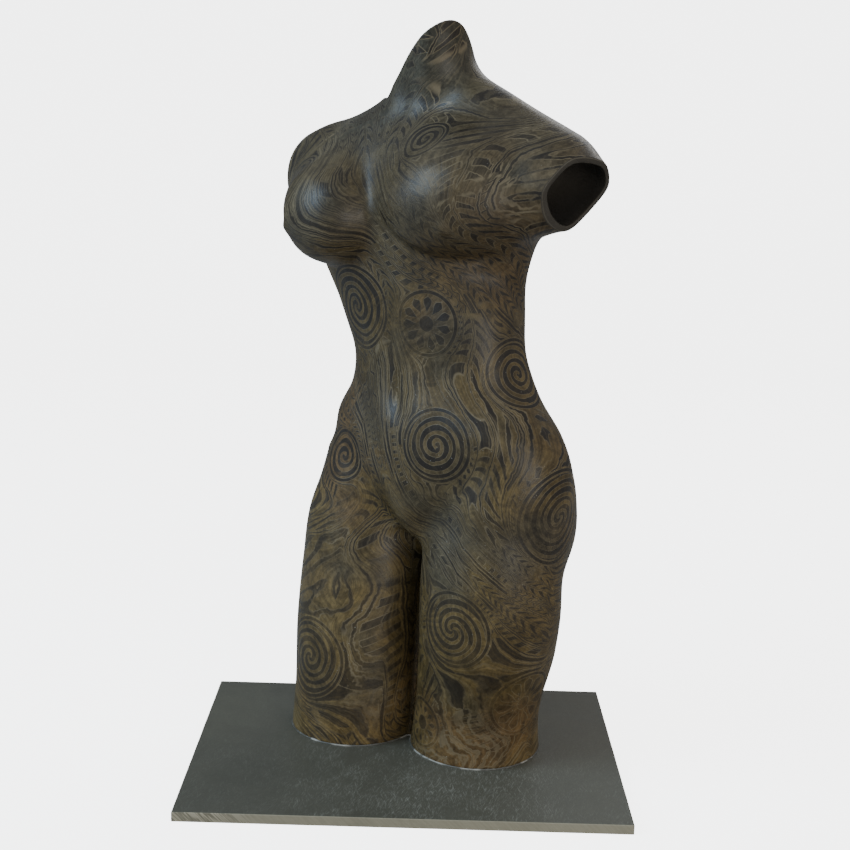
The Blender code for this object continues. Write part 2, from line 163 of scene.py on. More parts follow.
# the grid that the skins are found on, how many of its steps make one block, and how many
# blocks away from a skin the field may stay rough
GRID_LOW, GRID_HIGH, BLOCK, TOO_FAR = (-34, -26, -10), (34, 32, 110), 4, 1.4
# steps of the grid for the figure's skin, quick and full, and for the hollow's
QUICK_STEP, FULL_STEP, HOLLOW_STEP = 1.0, 0.5, 1.0
# where the inner clay starts, below the skin
INNER_FROM = 0.62


# ---- the field of the figure ----
def soft_min(a, b, k):
    h = np.maximum(k - np.abs(a - b), 0.0) / k
    return np.minimum(a, b) - h * h * h * k / 6.0


def smooth(t):
    t = np.clip(t, 0.0, 1.0)
    return t * t * (3.0 - 2.0 * t)


def curve(z, rows, column):
    """Smooth curve through one column of a table of sections."""
    zs = np.array([r[0] for r in rows], float)
    vs = np.array([r[column] for r in rows], float)
    m = np.gradient(vs, zs)
    z = np.clip(z, zs[0], zs[-1])
    i = np.clip(np.searchsorted(zs, z) - 1, 0, len(zs) - 2)
    h = zs[i + 1] - zs[i]
    t = (z - zs[i]) / h
    t2 = t * t
    t3 = t2 * t
    a = (2 * t3 - 3 * t2 + 1) * vs[i] + (t3 - 2 * t2 + t) * h * m[i]
    return a + (3 * t2 - 2 * t3) * vs[i + 1] + (t3 - t2) * h * m[i + 1]


def limb(p, rows, power):
    """Distance to a column of rounded sections stacked along z."""
    z = p[..., 2]
    back = 5 if len(rows[0]) > 5 else 4
    x = p[..., 0] - curve(z, rows, 1)
    y = p[..., 1] - curve(z, rows, 2)
    a = curve(z, rows, 3)
    front = curve(z, rows, 4)
    b = front + (curve(z, rows, back) - front) / (1.0 + np.exp(-y / 0.8))
    u = np.abs(x) / a
    v = np.abs(y) / b
    r = (u ** power + v ** power + 1e-9) ** (1.0 / power)
    gx = u ** (power - 1) * r ** (1 - power) / a
    gy = v ** (power - 1) * r ** (1 - power) / b
    g = np.sqrt(gx * gx + gy * gy) + 1e-6
    d = (r - 1.0) / np.maximum(g, 0.5 / np.maximum(a, b))
    over = np.maximum(np.maximum(rows[0][0] - z, z - rows[-1][0]), 0.0)
    return np.where(over > 0, np.sqrt(np.maximum(d, 0) ** 2 + over ** 2), d)


def egg(p, centre, radii, yaw=0.0):
    q = p - np.array(centre, float)
    if yaw:
        c, s = math.cos(math.radians(yaw)), math.sin(math.radians(yaw))
        q = q @ np.array([[c, -s, 0], [s, c, 0], [0, 0, 1]])
    r = np.array(radii, float)
    k0 = np.sqrt(((q / r) ** 2).sum(-1))
    k1 = np.sqrt(((q / r ** 2) ** 2).sum(-1)) + 1e-9
    return k0 * (k0 - 1.0) / k1


def taper(p, a, b, ra, rb):
    """Distance to a round bar that tapers from a to b."""
    a = np.array(a, float)
    ab = np.array(b, float) - a
    t = np.clip(((p - a) @ ab) / (ab @ ab), 0, 1)
    q = p - a - t[..., None] * ab
    return np.sqrt((q * q).sum(-1)) - (ra + (rb - ra) * t)


def arm_left(p):
    """Distance to the left arm: a bar with soft flats along it."""
    a = np.array(SHOULDER_LEFT, float)
    along = np.array(ARM_LEFT, float) - a
    along /= np.sqrt((along * along).sum())
    back = np.cross((0.0, 0.0, 1.0), along)
    back /= np.sqrt((back * back).sum())
    up = np.cross(along, back)
    d = taper(p, SHOULDER_LEFT, ARM_LEFT, 5.3, 5.3)
    q = p - a
    for side, rise, reach in ARM_FLATS:
        d = -soft_min(-d, reach - (q @ back) * side - (q @ up) * rise, 1.6)
    return d


def turned(P):
    """Points of the row frame (life cm above the plate) in the figure's own axes."""
    x, y, z = P[..., 0] - FEET[0], P[..., 1] - FEET[1], P[..., 2]
    a = twist_at(z)
    c, s = np.cos(a), np.sin(a)
    return np.stack([c * x - s * y, s * x + c * y, z], -1)


def line(u, z, a, b, width):
    """Soft mark along a line drawn on the front or back view, fading at its ends."""
    ax, az = a
    bx, bz = b[0] - ax, b[1] - az
    t = ((u - ax) * bx + (z - az) * bz) / (bx * bx + bz * bz)
    tc = np.clip(t, 0, 1)
    d2 = (u - ax - tc * bx) ** 2 + (z - az - tc * bz) ** 2
    return np.exp(-0.5 * d2 / width ** 2)


def spot(u, z, centre, radii):
    """Soft oval mark on the front or back view."""
    return np.exp(-0.5 * (((u - centre[0]) / radii[0]) ** 2 + ((z - centre[1]) / radii[1]) ** 2))


def fold_below(u, z, centre, radii):
    """Soft mark along the lower half of an oval, for the fold under a breast."""
    across, up = (u - centre[0]) / radii[0], (z - centre[1]) / radii[1]
    ring = np.exp(-0.5 * ((np.hypot(across, up) - 1.0) / 0.11) ** 2)
    return ring * smooth(-1.8 * up - 0.3)


def modelling(p):
    """Small modelling of the surface: how far it stands out (+) or goes in (-)."""
    z = p[..., 2]
    u = p[..., 0] - curve(z, MIDDLE, 1)
    w = np.abs(u)
    y = p[..., 1] - curve(z, TRUNK, 2)

    def marks(lines, spots):
        return (sum(out * line(w, z, a, b, width) for out, a, b, width in lines)
                + sum(out * spot(w, z, centre, radii) for out, centre, radii in spots))

    front = marks(FRONT_LINES, FRONT_SPOTS)
    front += sum(out * fold_below(u, z, centre, radii) for out, centre, radii in FOLDS)
    return front * smooth(-y / 3.5) + marks(BACK_LINES, BACK_SPOTS) * smooth(y / 3.5)


def masses(plain):
    """What is joined to the trunk and legs, in order: kind, its values, how softly it joins."""
    hx, hy = HIP
    cx = CHEST_X
    pairs = [(s, mass) for s in (-1, 1) for mass in (BUTTOCK, HIP_SIDE)]
    for s, ((x, y, z), radii, joins) in pairs + [(1, mass) for mass in (BELLY, LOW_BELLY, CROTCH)]:
        yield egg, ((hx + s * x, hy + y, z), radii), joins
    yield egg, ((cx + 0.8, -2.6, 77.0), (5.4, 5.8, 8.5)), 5.0
    for s, (sx, sy, sz), fold, fold_radius, reach, breast, size, nipple in SIDES:
        bx, by, bz = breast
        armpit = (sx + s * reach, sy - 2.4, sz - 2.8)
        yield taper, ((s * 3.7, 3.6, 90.6 + s * 1.8), (sx, sy + 0.4, sz + 1.2), 3.6, 5.0), 6.0
        yield taper, ((cx + s * 8.0, -2.6, 76.5), armpit, 4.2, 4.0), 5.0
        yield taper, ((cx + s * 10.5, 4.6, 66.0), (cx + s * 16.2, 3.4, 78.0), 3.8, 3.6), 6.0
        yield egg, ((cx + s * 7.8, 6.0, 77.0), (5.6, 3.4, 8.0)), 4.0
        high = (bx - s * 1.2, by + 6.2, bz + 9.5)
        yield taper, ((bx - s * 0.4, by + 1.2, bz + 1.2), high, 5.8, 2.6), 6.0
        yield taper, ((bx + s * 1.4, by + 2.4, bz + 1.8), fold, 5.8, fold_radius), 6.5
        yield taper, ((cx + s * 0.5, -0.4, 82.6), (cx + s * 14.0, -0.6, 82.0), 4.4, 4.2), 6.0
        yield egg, (breast, size, s * 22), 5.0 + s
        if not plain:
            yield egg, (nipple, (0.6, 0.6, 0.6)), 1.7
    yield taper, (SHOULDER_RIGHT, ARM_RIGHT, 4.6, 4.4), 5.0
    yield arm_left, (), 5.0
    yield taper, (*NECK, *NECK_RADII), 6.0
    if not plain:
        yield taper, WEB, 1.2


def figure(P, plain=False):
    """Field of the figure; plain leaves out the small forms, for the hollow inside."""
    p = turned(P)
    legs = soft_min(limb(p, THIGH_RIGHT, 2.1), limb(p, THIGH_LEFT, 2.1), 0.6)
    d = soft_min(limb(p, TRUNK, 2.25), legs, 5.0)
    for kind, values, joins in masses(plain):
        d = soft_min(d, kind(p, *values), joins)
    return d if plain else d - modelling(p)


def wall_at(p):
    """Thickness of the wall: thinner towards the mouth of the left arm."""
    thinned_from, over, by = 19.0, 6.0, 0.45
    return WALL / LIFE * (1.0 - by * smooth((p[..., 0] - thinned_from) / over))


def hollow(P):
    """Field of the hollow: it leaves the small forms out and stays clear of the skin."""
    wall = wall_at(turned(P))
    return -soft_min(-figure(P, plain=True) - wall, -figure(P) - 0.6 * wall, 0.9)


def twist_at(z):
    """Turn of the figure's axes at a height, in radians."""
    return np.radians(TURN + TWIST * smooth((z - TWIST_FROM) / (TWIST_TO - TWIST_FROM)))


def unturned(v, a):
    """A direction of the figure's axes in the row frame."""
    c, s = math.cos(a), math.sin(a)
    return np.array([c * v[0] + s * v[1], c * v[1] - s * v[0], v[2]])


def facing(cut):
    """A cut's point and outward direction in the row frame, life cm."""
    at, way = cut
    n = unturned(way, twist_at(TWIST_TO))
    return unturned(at, twist_at(at[2])) + np.array([*FEET, 0.0]), n / np.linalg.norm(n)


def cut_off(P):
    """Positive where the neck or an arm has been cut away."""
    out = np.full(P.shape[:-1], -9.0)
    for cut in (CUT_RIGHT_ARM, CUT_LEFT_ARM, CUT_NECK):
        base, n = facing(cut)
        d = (P - base) @ n
        if cut is CUT_NECK:
            d = np.minimum(d, P[..., 2] - NAPE)
        else:
            d = np.where(np.linalg.norm(P - base, axis=-1) < CUT_REACH, d, -9.0)
        out = np.maximum(out, d)
    return out


# ---- skins ----
def sampled(field, low, blocks, step):
    """Values of a field on a grid: exact near its zero, rough elsewhere."""
    axes = [low[i] + step * (np.arange(blocks[i]) * BLOCK + (BLOCK - 1) / 2) for i in range(3)]
    rough = np.stack([field(np.stack(np.meshgrid([x], axes[1], axes[2], indexing="ij"), -1))[0]
                      for x in axes[0]])
    value = rough.repeat(BLOCK, 0).repeat(BLOCK, 1).repeat(BLOCK, 2)
    near = np.argwhere(np.abs(rough) < TOO_FAR * BLOCK * step)
    corner = np.stack(np.meshgrid(*[np.arange(BLOCK)] * 3, indexing="ij"), -1).reshape(-1, 3)
    for start in range(0, len(near), 3000):
        at = (near[start:start + 3000, None] * BLOCK + corner).reshape(-1, 3)
        value[at[:, 0], at[:, 1], at[:, 2]] = field(low + at * step)
    return value


ALONG = np.eye(3, dtype=int)


def window(grid, start, size):
    return grid[tuple(slice(a, a + k) for a, k in zip(start, size))]


def crossing_points(value):
    """One point in each grid cell that the zero passes, and the number of each such cell."""
    m = [k - 1 for k in value.shape]
    total = np.zeros(m + [3], np.float32)
    count = np.zeros(m, np.float32)
    for axis in range(3):
        for others in ((0, 0), (0, 1), (1, 0), (1, 1)):
            start = np.insert(others, axis, 0)
            v0 = window(value, start, m)
            v1 = window(value, start + ALONG[axis], m)
            cross = (v0 < 0) != (v1 < 0)
            total[..., axis] += np.where(cross, v0 / np.where(cross, v0 - v1, 1), 0)
            total += np.where(cross[..., None], start, 0)
            count += cross
    active = count > 0
    index = -np.ones(m, int)
    index[active] = np.arange(active.sum())
    return np.argwhere(active) + total[active] / count[active][:, None], index


def crossing_faces(inside, index):
    """A four-sided face round every grid edge that the zero crosses, facing outwards."""
    faces = []
    for axis in range(3):
        b, c = ALONG[(axis + 1) % 3], ALONG[(axis + 2) % 3]
        size = inside.shape - ALONG[axis]
        here = window(inside, (0, 0, 0), size)
        edge = np.argwhere(here != window(inside, ALONG[axis], size))
        quad = np.stack([index[tuple((edge - db * b - dc * c).T)]
                         for db, dc in ((1, 1), (0, 1), (0, 0), (1, 0))], 1)
        flip = ~here[tuple(edge.T)]
        quad[flip] = quad[flip][:, ::-1]
        faces.append(quad)
    return np.concatenate(faces)


def skin(field, step, shift):
    """Closed skin of four-sided faces where the field is zero, worked out only near it."""
    low = np.array(GRID_LOW) + shift * step
    blocks = [int(math.ceil((GRID_HIGH[i] - low[i]) / (step * BLOCK))) for i in range(3)]
    value = sampled(field, low, blocks, step)
    points, index = crossing_points(value)
    return settle_on(field, points * step + low, 0.4 * step), crossing_faces(value < 0, index)


def settle_on(field, points, longest, rounds=2):
    """Moves points on to the zero of a field, each by no more than longest a round."""
    h = 0.05
    for _ in range(rounds):
        d = field(points)
        g = np.stack([field(points + h * e) - field(points - h * e) for e in np.eye(3)], 1) / (2 * h)
        move = d[:, None] * g / np.maximum((g * g).sum(1), 0.05)[:, None]
        size = np.linalg.norm(move, axis=1, keepdims=True)
        points = points - move * np.minimum(1, longest / np.maximum(size, 1e-9))
    return points


def closed_skin(field, step):
    """The skin on the first grid position that gives one clean closed surface."""
    for shift in (0.0, 0.3, 0.6, 0.15, 0.45, 0.75):
        points, faces = skin(field, step, shift)
        ends = np.sort(np.concatenate([faces[:, [i, (i + 1) % 4]] for i in range(4)]), axis=1)
        key = ends[:, 0].astype(np.int64) * len(points) + ends[:, 1]
        if (np.unique(key, return_counts=True)[1] == 2).all():
            break
    return points, faces


def show(name, data):
    """A new object of this name in the scene, at the origin."""
    obj = bpy.data.objects.new(name, data)
    bpy.context.scene.collection.objects.link(obj)
    return obj


def piece(name, points, faces):
    """A new mesh object; points are in metres in the row frame."""
    mesh = bpy.data.meshes.new(name)
    mesh.from_pydata([tuple(p) for p in points], [], [tuple(int(i) for i in f) for f in faces])
    mesh.update()
    return show(name, mesh)


PLATE_LEVEL = np.array([0.0, 0.0, PLATE_TOP])


def in_row(points):
    """Life centimetres above the plate, to metres in the row frame."""
    return np.asarray(points) * LIFE + PLATE_LEVEL


def from_row(points):
    return (np.asarray(points) - PLATE_LEVEL) / LIFE


def read(items, name):
    """Three numbers of each item of a mesh, as rows."""
    values = np.empty(len(items) * 3)
    items.foreach_get(name, values)
    return values.reshape(-1, 3)


def settle(obj):
    """Turns what the object's modifiers make into its plain mesh."""
    graph = bpy.context.evaluated_depsgraph_get()
    mesh = bpy.data.meshes.new_from_object(obj.evaluated_get(graph))
    obj.modifiers.clear()
    old = obj.data
    obj.data = mesh
    bpy.data.meshes.remove(old)


def take_away(obj, cutter):
    mod = obj.modifiers.new("cut", "BOOLEAN")
    mod.operation = "DIFFERENCE"
    mod.solver = "EXACT"
    mod.object = cutter
    settle(obj)
    bpy.data.objects.remove(cutter)


BOX_FACES = [(3, 2, 1, 0), (4, 5, 6, 7), (0, 1, 5, 4), (1, 2, 6, 5), (2, 3, 7, 6), (3, 0, 4, 7)]


def block(low, high):
    """A plain box between two corners, life cm above the plate."""
    ring = ((low[0], low[1]), (high[0], low[1]), (high[0], high[1]), (low[0], high[1]))
    return piece("block", in_row([(x, y, z) for z in (low[2], high[2]) for x, y in ring]), BOX_FACES)


def stump_block(cut, half, depth, floor=None):
    """A block that starts at a cut and reaches outwards; floor keeps it above a height."""
    base, n = facing(cut)
    side = np.cross((0, 0, 1.0), n)
    side /= np.linalg.norm(side)
    up = np.cross(n, side)
    corners = [base + side * half * i + up * half * j + n * depth * k
               for k in (0, 1) for i, j in ((-1, -1), (1, -1), (1, 1), (-1, 1))]
    obj = piece("stump_block", in_row(corners), BOX_FACES)
    if floor is not None:
        take_away(obj, block((-60, -60, floor - 60), (60, 60, floor)))
    return obj


def soft_max(a, b, k):
    return -soft_min(-a, -b, k)


def rounded(P):
    """Field of the clay with its cut rims rounded over."""
    return soft_max(soft_max(figure(P), -hollow(P), RIM_ROUND), cut_off(P), RIM_ROUND)


def round_the_rims(obj):
    """Divides the faces near the cuts and eases the sharp rims."""
    bm = bmesh.new()
    bm.from_mesh(obj.data)

    def near_a_cut(reach):
        return cut_off(from_row([v.co for v in bm.verts])) > -reach

    for reach in (1.1, 0.8):
        near = near_a_cut(reach)
        bmesh.ops.triangulate(bm, faces=[f for f in bm.faces if all(near[v.index] for v in f.verts)])
        bm.verts.index_update()
        near = near_a_cut(reach)
        edges = [e for e in bm.edges if near[e.verts[0].index] and near[e.verts[1].index]]
        bmesh.ops.subdivide_edges(bm, edges=edges, cuts=1, use_grid_fill=True)
        bm.verts.index_update()
    bmesh.ops.triangulate(bm, faces=bm.faces)
    bm.to_mesh(obj.data)
    bm.free()
    points = from_row(read(obj.data.vertices, "co"))
    rim = cut_off(points) > -0.75
    points[rim] = settle_on(rounded, points[rim], 0.2, rounds=4)
    obj.data.vertices.foreach_set("co", in_row(points).ravel())
    obj.data.update()


def make_torso():
    points, faces = closed_skin(figure, FULL_STEP)
    torso = piece("torso_skin", in_row(points), faces)
    points, faces = closed_skin(hollow, HOLLOW_STEP)
    take_away(torso, piece("hollow", in_row(points), faces))
    take_away(torso, block((-60, -60, -20), (60, 60, GLUE_GAP / LIFE)))
    take_away(torso, stump_block(CUT_RIGHT_ARM, half=9.5, depth=16))
    take_away(torso, stump_block(CUT_LEFT_ARM, half=9.5, depth=16))
    take_away(torso, stump_block(CUT_NECK, half=14, depth=24, floor=NAPE))
    round_the_rims(torso)
    torso.data.shade_smooth()
    return torso


# ---- painted design: where the scrolls sit and how the strokes flow ----
# seen from each side of the figure: across, height, radius, arms (none is a rosette), phase
SCROLLS = {
    "front": (
        (-4.0, 63.0, 6.2, 2, 0.1), (11.0, 46.0, 5.2, -1, 0.4), (-6.5, 41.5, 3.9, 1, 0.7),
        (7.5, 86.0, 3.6, -1, 0.2), (-12.5, 80.0, 4.4, 1, 0.5), (15.0, 21.0, 5.6, -3, 0.9),
        (-8.5, 12.0, 6.0, 2, 0.3), (8.5, 62.0, 4.6, 0, 0.6), (8.0, 5.0, 3.8, 0, 0.1),
    ),
    "left": (
        (1.0, 55.5, 5.0, 1, 0.8), (2.0, 37.0, 6.8, -2, 0.2), (0.5, 10.0, 5.2, 0, 0.4),
        (4.0, 69.5, 4.6, -1, 0.6),
    ),
    "back": (
        (-8.0, 78.0, 6.2, 1, 0.3), (9.0, 71.0, 6.0, -2, 0.7), (0.5, 57.0, 4.8, 0, 0.2),
        (15.0, 35.0, 6.6, 3, 0.5), (-2.5, 36.0, 6.2, -1, 0.1), (13.0, 14.0, 5.8, 0, 0.8),
        (-7.0, 18.0, 6.2, 1, 0.6),
    ),
    "right": ((2.0, 45.0, 6.2, -1, 0.9), (0.0, 64.0, 5.0, 1, 0.4), (-1.0, 23.0, 5.6, 0, 0.3)),
}
LOOK = {"front": (0, 1), "back": (0, -1), "left": (-1, 0), "right": (1, 0)}
FAR = 1e9
# width of a row of strokes and length of a stroke, life cm
STROKE_PITCH = 1.4
SEGMENT = 8.0


def flow(p):
    """Place in the brush flow of points in the figure's axes: rows across, strokes along."""
    x, y, z = p[..., 0], p[..., 1], p[..., 2]
    leg = smooth((38.0 - z) / 12.0)
    right = x < 2.6
    cx = np.where(right, curve(z, THIGH_RIGHT, 1), curve(z, THIGH_LEFT, 1))
    cy = np.where(right, curve(z, THIGH_RIGHT, 2), curve(z, THIGH_LEFT, 2))
    dx = x - (curve(z, TRUNK, 1) + (cx - curve(z, TRUNK, 1)) * leg)
    dy = y - (curve(z, TRUNK, 2) + (cy - curve(z, TRUNK, 2)) * leg)
    neck = smooth((z - 84.0) / 8.0)
    girth = 13.5 - 4.2 * leg - 8.0 * neck
    turn = np.arctan2(dx, -dy) / (2 * np.pi)
    out = np.hypot(dx, dy) - girth
    rows = 54.0 - 30.0 * leg - 32.0 * neck
    across = rows * turn + (0.50 * z + 0.30 * out) / STROKE_PITCH
    along = (0.86 * z - 0.40 * rows * turn * STROKE_PITCH + 0.35 * out) / SEGMENT
    # two slow waves bend the rows, and one stretches the strokes
    across = across + 3.2 * np.sin(2 * np.pi * (z / 41.0 + x / 60.0 + 0.10))
    across = across + 0.8 * np.sin(2 * np.pi * (z / 17.0 - y / 26.0 - x / 34.0))
    return across, along + 0.4 * np.sin(2 * np.pi * (x / 41.0 - z / 64.0 + 0.3))


def round_fields(p, n, skin):
    """Each point's place in the nearest scroll or rosette and that one's form; and, for each
    scroll or rosette, its radius, its middle's index and every point's distance from it."""
    nearest = np.full(len(p), FAR)
    place = np.zeros((len(p), 3))
    form = np.zeros((len(p), 3))
    fields = []
    rows = [(*LOOK[side], *row) for side, group in SCROLLS.items() for row in group]
    for lx, ly, u, z, radius, arms, phase in rows:
        seen = (n[:, 0] * lx + n[:, 1] * ly < -0.25) & (skin > -0.25)
        off = (p[:, 0] if lx == 0 else p[:, 1]) - u
        c = int(np.where(seen, off ** 2 + (p[:, 2] - z) ** 2, FAR).argmin())
        centre, out = p[c], n[c]
        up = np.array([0, 0, 1.0]) - out * out[2]
        up /= np.linalg.norm(up)
        side_way = np.cross(out, up)
        d = p - centre
        # points that face away from the field's middle count as further off
        r = np.linalg.norm(d, axis=1) + 30.0 * np.maximum(0.0, 0.1 - n @ out)
        uv = np.stack([d @ up, d @ side_way], 1)
        uv *= (r / np.maximum(np.linalg.norm(uv, axis=1), 1e-6))[:, None]
        rel = r - radius
        take = rel < nearest
        nearest = np.where(take, rel, nearest)
        place[take] = np.concatenate([uv, rel[:, None]], 1)[take]
        form[take] = (radius, arms, phase)
        fields.append((radius, c, r))
    return place, form, fields


def lay_out_the_design(obj):
    """Gives every vertex its place in the painted design, for the glaze to draw."""
    points = from_row(read(obj.data.vertices, "co"))
    p = turned(points)
    a = math.radians(TURN + TWIST * 0.5)
    turn = np.array([[math.cos(a), -math.sin(a), 0], [math.sin(a), math.cos(a), 0], [0, 0, 1]])
    skin = figure(points)
    place, form, fields = round_fields(p, read(obj.data.vertices, "normal") @ turn.T, skin)
    # the flow stands still in each round field, and runs freely again well outside it
    strokes = np.stack(flow(p), 1)
    push = np.zeros_like(strokes)
    for radius, c, r in fields:
        w = np.clip(radius / np.maximum(r, radius), 0, 1) ** 2
        w *= smooth((4.0 * radius - r) / (2.5 * radius))
        push += (strokes - strokes[c]) * w[:, None]
    strokes += push * (-1, 1)
    # 0 on the skin, 1 on the cuts and inside, up to 2 on the worn outer edge of a cut
    beyond = cut_off(points)
    bare = np.maximum(smooth((skin + 0.34) / -0.26), smooth((beyond + 0.14) / 0.12))
    bare += smooth((beyond + 0.20) / 0.12) * smooth((skin + 0.16) / 0.12)
    flowing = np.column_stack([strokes, bare])
    for name, value in (("scroll", place), ("scroll_form", form), ("flow", flowing)):
        layer = obj.data.attributes.new(name, "FLOAT_VECTOR", "POINT")
        layer.data.foreach_set("vector", value.astype(np.float32).ravel())


# ---- shader wiring ----
class Term:
    """One value in a node tree, with ordinary arithmetic."""

    def __init__(self, net, socket):
        self.net = net
        self.socket = socket

    def __add__(self, other):
        return self.net.math("ADD", self, other)

    def __sub__(self, other):
        return self.net.math("SUBTRACT", self, other)

    def __rsub__(self, other):
        return self.net.math("SUBTRACT", other, self)

    def __mul__(self, other):
        return self.net.math("MULTIPLY", self, other)

    __radd__, __rmul__ = __add__, __mul__


def operation(name):
    """A method that makes one arithmetic node."""
    return lambda net, *values: net.math(name, *values)


class Net:
    """Makes and joins the nodes of one tree."""

    def __init__(self, tree):
        self.tree = tree

    def set(self, node, name, value):
        """Links a term to a socket, or gives it a plain value; a colour is three numbers."""
        socket = node.inputs[name]
        if isinstance(value, Term):
            self.tree.links.new(value.socket, socket)
        else:
            socket.default_value = (*value, 1.0) if socket.type == "RGBA" else value

    def node(self, kind, inputs=(), out=0, family="ShaderNode", **settings):
        made = self.tree.nodes.new(family + kind)
        for key, value in settings.items():
            setattr(made, key, value)
        for name, value in dict(inputs).items():
            self.set(made, name, value)
        return made if out is None else Term(self, made.outputs[out])

    def math(self, operation, *values, clamp=False):
        return self.node("Math", enumerate(values), operation=operation, use_clamp=clamp)

    fract, floor, size = operation("FRACT"), operation("FLOOR"), operation("ABSOLUTE")
    least, most, above = operation("MINIMUM"), operation("MAXIMUM"), operation("GREATER_THAN")

    def sine(self, turns):
        return self.math("SINE", turns * (2 * math.pi))

    def off_middle(self, x):
        """How far x is from the middle of its whole step: 0 there, 0.5 at the ends."""
        return self.size(self.fract(x) - 0.5)

    def ease(self, x, low, high, to_low=0.0, to_high=1.0):
        """Smooth step from to_low at low to to_high at high."""
        return self.node("MapRange", {"Value": x, "From Min": low, "From Max": high,
                                      "To Min": to_low, "To Max": to_high},
                         interpolation_type="SMOOTHSTEP")

    def pick(self, mask, a, b):
        """a where the mask is 0, b where it is 1."""
        return self.node("Mix", {"Factor": mask, 2: a, 3: b}, data_type="FLOAT")

    def tint(self, mask, a, b, blend="MIX"):
        """Colour a where the mask is 0, b where it is 1, or a times b."""
        return self.node("Mix", {"Factor": mask, 6: a, 7: b}, 2, data_type="RGBA", blend_type=blend)

    def chance(self, x, y, z=0.0):
        """A fixed random number from 0 to 1 for each set of whole numbers."""
        return self.node("TexWhiteNoise", {"Vector": self.join(x, y, z)}, noise_dimensions="3D")

    def join(self, x, y, z):
        return self.node("CombineXYZ", {"X": x, "Y": y, "Z": z})

    def split(self, vector):
        return [Term(self, s) for s in self.node("SeparateXYZ", {"Vector": vector}, None).outputs]

    def slanted(self, vector, rotation, scale):
        """The vector turned first and stretched after, for marks that run aslant."""
        turned_v = self.node("Mapping", {"Vector": vector, "Rotation": rotation})
        return self.node("Mapping", {"Vector": turned_v, "Scale": scale})

    def noise(self, vector, scale, detail=2.0, roughness=0.5, distortion=0.0):
        return self.node("TexNoise", {"Vector": vector, "Scale": scale, "Detail": detail,
                                      "Roughness": roughness, "Distortion": distortion})

    def attribute(self, name):
        return self.node("Attribute", out="Vector", attribute_name=name)

    def group(self, tree, *values):
        """A shared group with its inputs set in order, and its one output or all of them."""
        made = self.node("Group", enumerate(values), None, node_tree=tree)
        terms = [Term(self, s) for s in made.outputs]
        return terms if len(terms) > 1 else terms[0]


def node_group(name, inputs, outputs, family="Shader", gives="Float"):
    """The wiring and the inputs of a new group; an input is given by its value or its type."""
    tree = bpy.data.node_groups.new(name, family + "NodeTree")
    for key, value in inputs.items():
        bare = isinstance(value, str)
        kind = value if bare else {int: "Int", float: "Float"}[type(value)]
        socket = tree.interface.new_socket(name=key, in_out="INPUT", socket_type="NodeSocket" + kind)
        if not bare:
            socket.default_value = value
    for key in outputs:
        tree.interface.new_socket(name=key, in_out="OUTPUT", socket_type="NodeSocket" + gives)
    net = Net(tree)
    source = tree.nodes.new("NodeGroupInput")
    return net, {key: Term(net, source.outputs[key]) for key in inputs}


def give(net, **values):
    """Joins the values to the group's outputs and returns its tree."""
    sink = net.tree.nodes.new("NodeGroupOutput")
    for key, value in values.items():
        net.set(sink, key, value)
    return net.tree


# ---- effects that several finishes share ----
def mottle_group():
    """Cloudy change of tone, with finer clouds inside it."""
    net, g = node_group("mottle", {"Vector": "Vector", "Scale": 20.0, "Contrast": 1.0}, ["Tone"])
    broad = net.noise(g["Vector"], g["Scale"], 3.0, 0.55, 0.4)
    fine = net.noise(g["Vector"], g["Scale"] * 6.3, 4.0, 0.6)
    tone = (broad - 0.5) * 0.7 + (fine - 0.5) * 0.35
    return give(net, Tone=net.math("ADD", tone * g["Contrast"], 0.5, clamp=True))


def scuff_group():
    """Fine straight scratches in three directions."""
    net, g = node_group("scuffs", {"Vector": "Vector", "Scale": 40.0, "Amount": 0.5}, ["Scratch"])
    total = None
    for angle, stretch in ((-1.30, 11.0), (-1.12, 14.0), (-1.75, 10.0)):
        aslant = net.slanted(g["Vector"], (0.0, 0.0, angle), (1.0, stretch, 1.0))
        mark = net.ease(net.noise(aslant, g["Scale"], 1.0, 0.4), 0.66, 0.71)
        total = mark if total is None else net.most(total, mark)
    patches = net.noise(g["Vector"], g["Scale"] * 0.35, 2.0)
    worn = net.ease(patches + g["Amount"] * 0.6, 0.62, 0.95)
    return give(net, Scratch=total * worn)


def grit_group():
    """Height of a fired surface: slow ripples of the hand and fine grit."""
    net, g = node_group("grit", {"Vector": "Vector", "Scale": 600.0, "Ripple": 0.6}, ["Height"])
    ripple = net.noise(g["Vector"], g["Scale"] * 0.06, 2.0, 0.5)
    grains = net.noise(g["Vector"], g["Scale"], 3.0, 0.6)
    return give(net, Height=ripple * g["Ripple"] + grains * 0.18)


MOTTLE, SCUFFS, GRIT = mottle_group(), scuff_group(), grit_group()


def new_material(name):
    """A new material, its wiring, its shader and the place on the object."""
    mat = bpy.data.materials.new(name)
    mat.use_nodes = True
    net = Net(mat.node_tree)
    return mat, net, mat.node_tree.nodes["Principled BSDF"], net.node("TexCoord", out="Object")


def finish(net, shader, colour, roughness, height, depth, strength):
    """Gives a shader its colour, roughness and relief."""
    net.set(shader, "Base Color", colour)
    net.set(shader, "Roughness", roughness)
    bump = {"Height": height, "Distance": depth, "Strength": strength}
    net.set(shader, "Normal", net.node("Bump", bump))


# ---- brush work: s counts rows of strokes, t counts lengths along them ----
def single_strokes(net, s, t):
    """Strokes that swell and taper, one row wide, and the row and number of each."""
    row = net.floor(s)
    run = t + net.chance(row, 3.0) * 7.0
    number = net.floor(run)
    ends = net.math("POWER", net.size(net.sine(net.fract(run) * 0.5)), 0.45)
    width = ends * (0.33 + net.chance(row, number, 5.0) * 0.12)
    return net.ease(width - net.off_middle(s), -0.05, 0.08), row, number


